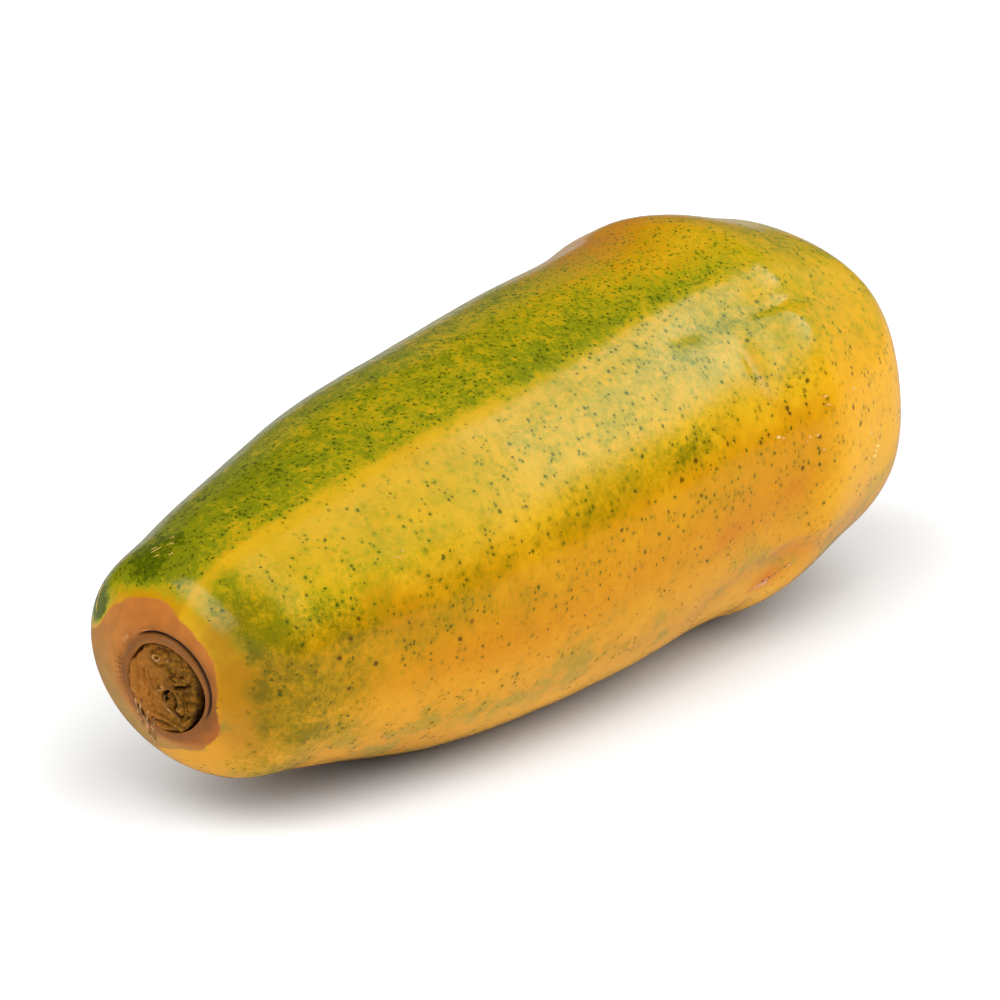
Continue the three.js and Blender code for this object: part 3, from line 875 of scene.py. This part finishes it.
def tube(points, radii):
    """A closed tube through the points, tapering through the radii: a ring of corners round
    each point, square to the line there, and a fan over each end. Returns corners and faces."""
    points = np.asarray(points, float)
    spans = len(points) - 1
    steps = np.linspace(0, spans, TUBE_STEPS * spans + 1)
    line = through(points, steps)
    size = through(radii, steps * (len(radii) - 1) / spans)[:, None, None]
    ahead = np.gradient(line, axis=0)
    ahead /= np.linalg.norm(ahead, axis=1, keepdims=True)
    side = np.cross(ahead, (1.0, 0.2, 0.1))
    side /= np.linalg.norm(side, axis=1, keepdims=True)
    over = np.cross(ahead, side)
    angle = np.arange(TUBE_SIDES)[None, :, None] * 2 * np.pi / TUBE_SIDES
    rings = line[:, None] + size * (np.cos(angle) * side[:, None] + np.sin(angle) * over[:, None])
    ring = np.arange(len(line) * TUBE_SIDES).reshape(len(line), TUBE_SIDES)
    turned = np.roll(ring, -1, axis=1)
    first = ring.size
    near = [(first, b, a) for a, b in zip(ring[0], turned[0])]
    far = [(first + 1, a, b) for a, b in zip(ring[-1], turned[-1])]
    corners = np.concatenate([rings.reshape(-1, 3), line[:1], line[-1:]])
    return corners, band_faces(ring, turned) + near + far


def one_piece(name, parts):
    """One object made of several closed shapes, each given as corners and faces."""
    faces = []
    start = 0
    for part_corners, part_faces in parts:
        faces += [[int(corner) + start for corner in face] for face in part_faces]
        start += len(part_corners)
    return shaped(name, np.concatenate([part_corners for part_corners, _ in parts]), faces)


def on_face(y, z, lift):
    """A point over the stub or the skin round it, lifted off by so many millimetres."""
    radius = np.hypot(y, z)
    turn = np.degrees(np.arctan2(z, y)) % 360
    if radius < round_table(STUB_EDGE, turn) - FACE_MARGIN:
        along = -stub_height(y, z)
    else:
        shoulder = skin_profile[:SHOULDER_ROWS]
        along = np.interp(radius, shoulder[:, 1], shoulder[:, 0]) + mouth_relief(radius, turn)
    return place(along - lift, radius, turn)


fibres = one_piece("papaya_stalk_fibres", [
    tube([on_face(*point) for point in points], [thickness, thickness, thickness * FIBRE_TIP])
    for thickness, points in FIBRES])


def dry_material(name, scale, low, high, brown, pale):
    """A half dull finish, brown where cloudy noise is below low and pale where above high."""
    material, tree = new_material(name)
    tone = blend(tree, between(tree, noise(tree, own_place(tree), scale), low, high), brown, pale)
    shader = node(tree, "ShaderNodeBsdfPrincipled", {"Base Color": tone, "Roughness": 0.5})
    finish_material(tree, shader)
    return material


FIBRE_BROWN = colour(118, 80, 34)
FIBRE_PALE = colour(182, 136, 78)
fibres.data.materials.append(
    dry_material("papaya_dry_fibre", 500, 0.4, 0.62, FIBRE_BROWN, FIBRE_PALE))
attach(fibres, "root")

# --- Dried latex and dry skin flecks -------------------------------------------------------
# Beads of latex that dried where the skin was pricked near the blossom end, and thin pale
# flecks of dry skin on the green shoulder. They stick to the wax.
BEADS = [  # (along, turn, length, width, paleness)
    (223.5, 178, 1.6, 0.8, 1), (229.1, 184, 2.3, 1.1, 1), (228, 185.2, 1.5, 0.9, 0.9),
    (227.4, 186.6, 2.0, 0.9, 1), (226.4, 183.4, 1.1, 0.7, 0.4), (180.9, 166, 1.9, 0.9, 0.7),
    (182.5, 166.8, 1.2, 0.7, 0.3), (192.9, 170, 1.6, 0.9, 0.3), (191.6, 170.9, 1.2, 0.7, 0.1),
    (195.6, 170.3, 1.7, 0.8, 0.3), (197.6, 175, 1.8, 0.7, 0.3), (215.1, 162.6, 1.6, 0.7, 0.8),
    (200.8, 161, 2.2, 0.6, 0.4), (201.2, 163.4, 2.2, 0.6, 0.3)]
BEAD_CREST = 0.32  # how far it stands out of the skin
BEAD_SUNK = -0.1  # how far its ends lie in it
BEAD_SLANT = 0.6  # degrees that its end is farther round
END_RADIUS = 0.05
FLECKS = [  # (along, turn) at each end
    ((11.6, 74.0), (13.4, 78.0)), ((12.5, 72.6), (13.6, 75.0)), ((10.4, 77.5), (11.0, 80.0)),
    ((14.2, 79.5), (15.0, 82.5)), ((11.0, 85.0), (12.0, 86.2)), ((16.6, 77.4), (17.6, 78.6)),
    ((46.8, 145.0), (48.6, 146.6)), ((49.2, 144.2), (49.8, 145.2)), ((6.4, 28.0), (7.8, 34.0)),
    ((7.8, 34.0), (9.4, 41.0))]
FLECK_LIFTS = (0.02, 0.1)  # at its ends and at its middle
FLECK_BEND = 0.6
FLECK_RADII = [0.04, 0.12, 0.04]
FLECK_PALENESS = 0.8


def on_skin(along, turn, lift):
    """A point over the skin, lifted off it by so many millimetres."""
    radius = np.interp(along, skin_profile[:, 0], skin_profile[:, 1])
    return fruit_point(np.array(along), np.array(radius + lift), np.array(turn))


def bead(along, turn, length, width):
    """A drop: a short tube along the fruit, widest between its ends, which lie in the skin."""
    points = [on_skin(along - length / 2, turn, BEAD_SUNK),
              on_skin(along, turn, BEAD_CREST - width / 2),
              on_skin(along + length / 2, turn + BEAD_SLANT, BEAD_SUNK)]
    return tube(points, [END_RADIUS, width / 2, width / 2, END_RADIUS])


def fleck(start, end):
    """A thin tube between two places on the skin, bent a little and lifted at its middle."""
    middle_along = (start[0] + end[0]) / 2
    middle_turn = (start[1] + end[1]) / 2 + FLECK_BEND
    points = [on_skin(*start, FLECK_LIFTS[0]), on_skin(middle_along, middle_turn, FLECK_LIFTS[1]),
              on_skin(*end, FLECK_LIFTS[0])]
    return tube(points, FLECK_RADII)


drops = [bead(*row[:-1]) for row in BEADS]
dry_flecks = [fleck(*ends) for ends in FLECKS]
latex = one_piece("papaya_latex_beads", drops + dry_flecks)
paleness = [row[-1] for row in BEADS] + [FLECK_PALENESS] * len(FLECKS)
pale = np.repeat(paleness, [len(corners) for corners, _ in drops + dry_flecks])
pale_layer = latex.data.attributes.new("pale", "FLOAT", "POINT")
pale_layer.data.foreach_set("value", pale.astype(np.float32))

LATEX_AMBER = colour(206, 136, 26)
LATEX_PALE = colour(228, 192, 104)
dry_latex, tree = new_material("papaya_dry_latex")
latex_tone = blend(tree, stored(tree, "pale"), LATEX_AMBER, LATEX_PALE)
latex_shader = node(tree, "ShaderNodeBsdfPrincipled", {"Base Color": latex_tone, "Roughness": 0.25})
finish_material(tree, latex_shader)
latex.data.materials.append(dry_latex)
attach(latex, "root")

# --- Healed scratches ----------------------------------------------------------------------
# Where the skin was grazed low down near the blossom end, it has healed over with thin raised
# lines of brown cork. They have grown into the skin.
SCRATCHES = [  # (thickness, (along, turn) of its points)
    (0.65, [(187.4, 219.4), (189.4, 218.2), (191.8, 218.4)]),
    (0.3, [(183.8, 219.8), (186.6, 219.2), (188.8, 217.4), (192.6, 216.6), (195.4, 214.4)]),
    (0.3, [(195.8, 214.6), (197.0, 213.6), (198.6, 213.8)])]
scratches = one_piece("papaya_healed_scratches", [
    tube([on_skin(*point, 0.0) for point in points], [END_RADIUS, thickness, thickness, END_RADIUS])
    for thickness, points in SCRATCHES])

CORK_BROWN = colour(128, 78, 22)
CORK_PALE = colour(206, 146, 92)
scratches.data.materials.append(
    dry_material("papaya_corky_scar", 420, 0.42, 0.58, CORK_BROWN, CORK_PALE))
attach(scratches, "root")

# --- The floor -----------------------------------------------------------------------------
# A plain pale table top, wide enough to fill the view. It shows faintly in the wax and throws
# a little more light back up at the shaded side.
FLOOR_HALF = 4.0
FLOOR_GREY = (0.3, 0.3, 0.3, 1)
FLOOR_IN_WAX = (0.1, 0.1, 0.1, 1)
FLOOR_THROW = (0.4, 0.4, 0.4, 1)
floor_mesh = bpy.data.meshes.new("table_top")
floor_mesh.from_pydata([(-FLOOR_HALF, -FLOOR_HALF, 0), (FLOOR_HALF, -FLOOR_HALF, 0),
                        (FLOOR_HALF, FLOOR_HALF, 0), (-FLOOR_HALF, FLOOR_HALF, 0)],
                       [], [(0, 1, 2, 3)])
floor = bpy.data.objects.new("table_top", floor_mesh)
bpy.context.scene.collection.objects.link(floor)
pale_top, tree = new_material("pale_table_top")
in_gloss = node(tree, "ShaderNodeLightPath", {}, output="Is Glossy Ray")
in_bounce = node(tree, "ShaderNodeLightPath", {}, output="Is Diffuse Ray")
floor_tone = blend(tree, in_gloss, FLOOR_GREY, FLOOR_IN_WAX)
floor_tone = blend(tree, in_bounce, floor_tone, FLOOR_THROW)
floor_shader = node(tree, "ShaderNodeBsdfPrincipled",
                    {"Base Color": floor_tone, "Roughness": 0.9, "Specular IOR Level": 0.0})
finish_material(tree, floor_shader)
floor_mesh.materials.append(pale_top)

# --- Light and camera ----------------------------------------------------------------------
# One large soft light overhead to the right of the view, in a bright white room, two wide soft
# lights for the table, and a long lens that looks down at the stalk end.
ROOM_BRIGHTNESS = 1.03
scene = bpy.context.scene
scene.view_settings.view_transform = "Standard"
room = bpy.data.worlds.new("white_room")
room.use_nodes = True
room.node_tree.nodes["Background"].inputs["Color"].default_value = (1, 1, 1, 1)
room.node_tree.nodes["Background"].inputs["Strength"].default_value = ROOM_BRIGHTNESS
room.cycles_visibility.glossy = False
scene.world = room


def soft_light(name, middle, target, width, height, radiance, roll_to=(0, 0, 1)):
    """A rectangular light that faces target, its height towards roll_to. Its power is its
    radiance times its area times pi, which makes its face that bright."""
    lamp = bpy.data.lights.new(name, "AREA")
    lamp.shape = "RECTANGLE"
    lamp.size = width
    lamp.size_y = height
    lamp.energy = radiance * width * height * np.pi
    holder = bpy.data.objects.new(name, lamp)
    away = (Vector(middle) - Vector(target)).normalized()
    side = Vector(roll_to).cross(away).normalized()
    up = away.cross(side)
    turned = Matrix((side, up, away)).transposed().to_4x4()
    turned.translation = Vector(middle)
    holder.matrix_world = turned
    holder.visible_camera = False
    scene.collection.objects.link(holder)
    return holder


# The panel fills the shadows from one lamp and shows in the gloss of the skin from others, so
# that the glow on the waxy skin can be set without changing the shadows.
PANEL_MIDDLE = Vector((0.41, -0.42, 0.76))
PANEL_AIM = Vector((0, 0, 0.05))
PANEL_ACROSS = Vector((0.5005, 0.8657, 0))
PANEL_UP = Vector((-0.5814, 0.3361, 0.7410))
PANEL_LONG = 0.67 * PANEL_ACROSS + 0.74 * PANEL_UP
PANEL_WIDE = 0.74 * PANEL_ACROSS - 0.67 * PANEL_UP
FILL_DISTANCE = 1.08
fill = soft_light("overhead_fill", PANEL_MIDDLE * FILL_DISTANCE, PANEL_AIM,
                  width=1.08, height=1.2, radiance=1.2)
fill.visible_glossy = False


def glow(name, wide, long, nearness, width, length, radiance,
         fade=0.2, slant=0.0, lower=(0.0, 0.12)):
    """A light that shows only in the gloss, so far across and along the panel from its middle,
    and at this share of the panel's distance. It grows from nothing over a share of its width,
    and fades out at its lower, slanting edge."""
    on_panel = PANEL_MIDDLE + wide * PANEL_WIDE + long * PANEL_LONG
    middle = PANEL_AIM + nearness * (on_panel - PANEL_AIM)
    holder = soft_light(name, middle, PANEL_AIM, width, length, radiance, roll_to=PANEL_LONG)
    holder.visible_diffuse = False
    holder.data.use_nodes = True
    tree = holder.data.node_tree
    split = tree.nodes.new("ShaderNodeSeparateXYZ")
    tree.links.new(node(tree, "ShaderNodeNewGeometry", {}, output="Parametric"), split.inputs[0])
    risen = between(tree, split.outputs[0], 0.0, fade)
    slanting = minus(tree, split.outputs[1], times(tree, split.outputs[0], slant))
    strength = times(tree, risen, between(tree, slanting, *lower))
    tree.links.new(strength, tree.nodes["Emission"].inputs["Strength"])


glow("overhead_glow", wide=0.045, long=-0.24, nearness=1.0, width=0.89, length=1.32,
     radiance=2.95, fade=1.0, slant=0.573, lower=(-0.06, 0.1))
glow("overhead_glow_edge", wide=-0.15, long=0.0, nearness=0.97, width=0.6, length=0.92,
     radiance=0.8, fade=0.35)
glow("overhead_glow_bright", wide=0.18, long=-0.14, nearness=0.94, width=0.42, length=0.44,
     radiance=1.1, fade=0.3, lower=(0.0, 0.3))
SHOULDER = (-0.133, -0.012, 0.066)
shoulder_glow = soft_light("shoulder_glow", (-1.05, -0.06, 0.4), SHOULDER,
                           width=0.4, height=0.86, radiance=3.3, roll_to=(0.26, 0.75, 0.6))
back_glow = soft_light("back_glow", (1.05, 0.95, 0.3), PANEL_AIM,
                       width=2.2, height=0.9, radiance=0.09)
far_glow = soft_light("far_glow", (1.3, -0.35, 0.5), PANEL_AIM,
                      width=1.0, height=0.9, radiance=0.26)
for only_in_gloss in (shoulder_glow, back_glow, far_glow):
    only_in_gloss.visible_diffuse = False

# Two wide soft lights on the near side light the table only, so that it is white round a
# short dark shadow.
TABLE_LIGHTS = [  # (name, where it shines from, strength)
    ("table_light_left", (-0.7067, -0.0265, 0.7071), 6.95),
    ("table_light_right", (-0.1603, -0.6366, 0.7547), 6.2)]
TABLE_LIGHT_SPREAD = 52
table_only = bpy.data.collections.new("table_only")
table_only.objects.link(floor)
for name, direction, strength in TABLE_LIGHTS:
    lamp = bpy.data.lights.new(name, "SUN")
    lamp.energy = strength
    lamp.angle = np.radians(TABLE_LIGHT_SPREAD)
    holder = bpy.data.objects.new(name, lamp)
    holder.rotation_euler = Vector(direction).to_track_quat("Z", "Y").to_euler()
    holder.light_linking.receiver_collection = table_only
    scene.collection.objects.link(holder)

CAMERA_PLACE = Vector((-0.72532, -0.58161, 0.38036))
CAMERA_LOOK = Vector((0.73257, 0.59322, -0.33381))
CAMERA_RIGHT = Vector((0.62932, -0.77715, 0.0))
LENS_MM = 135
SENSOR_MM = 36
lens = bpy.data.cameras.new("camera")
lens.lens = LENS_MM
lens.sensor_width = SENSOR_MM
camera = bpy.data.objects.new("camera", lens)
look = CAMERA_LOOK.normalized()
right = CAMERA_RIGHT.normalized()
camera_turn = Matrix((right, right.cross(look), -look)).transposed().to_4x4()
camera_turn.translation = CAMERA_PLACE
camera.matrix_world = camera_turn
scene.collection.objects.link(camera)
scene.camera = camera
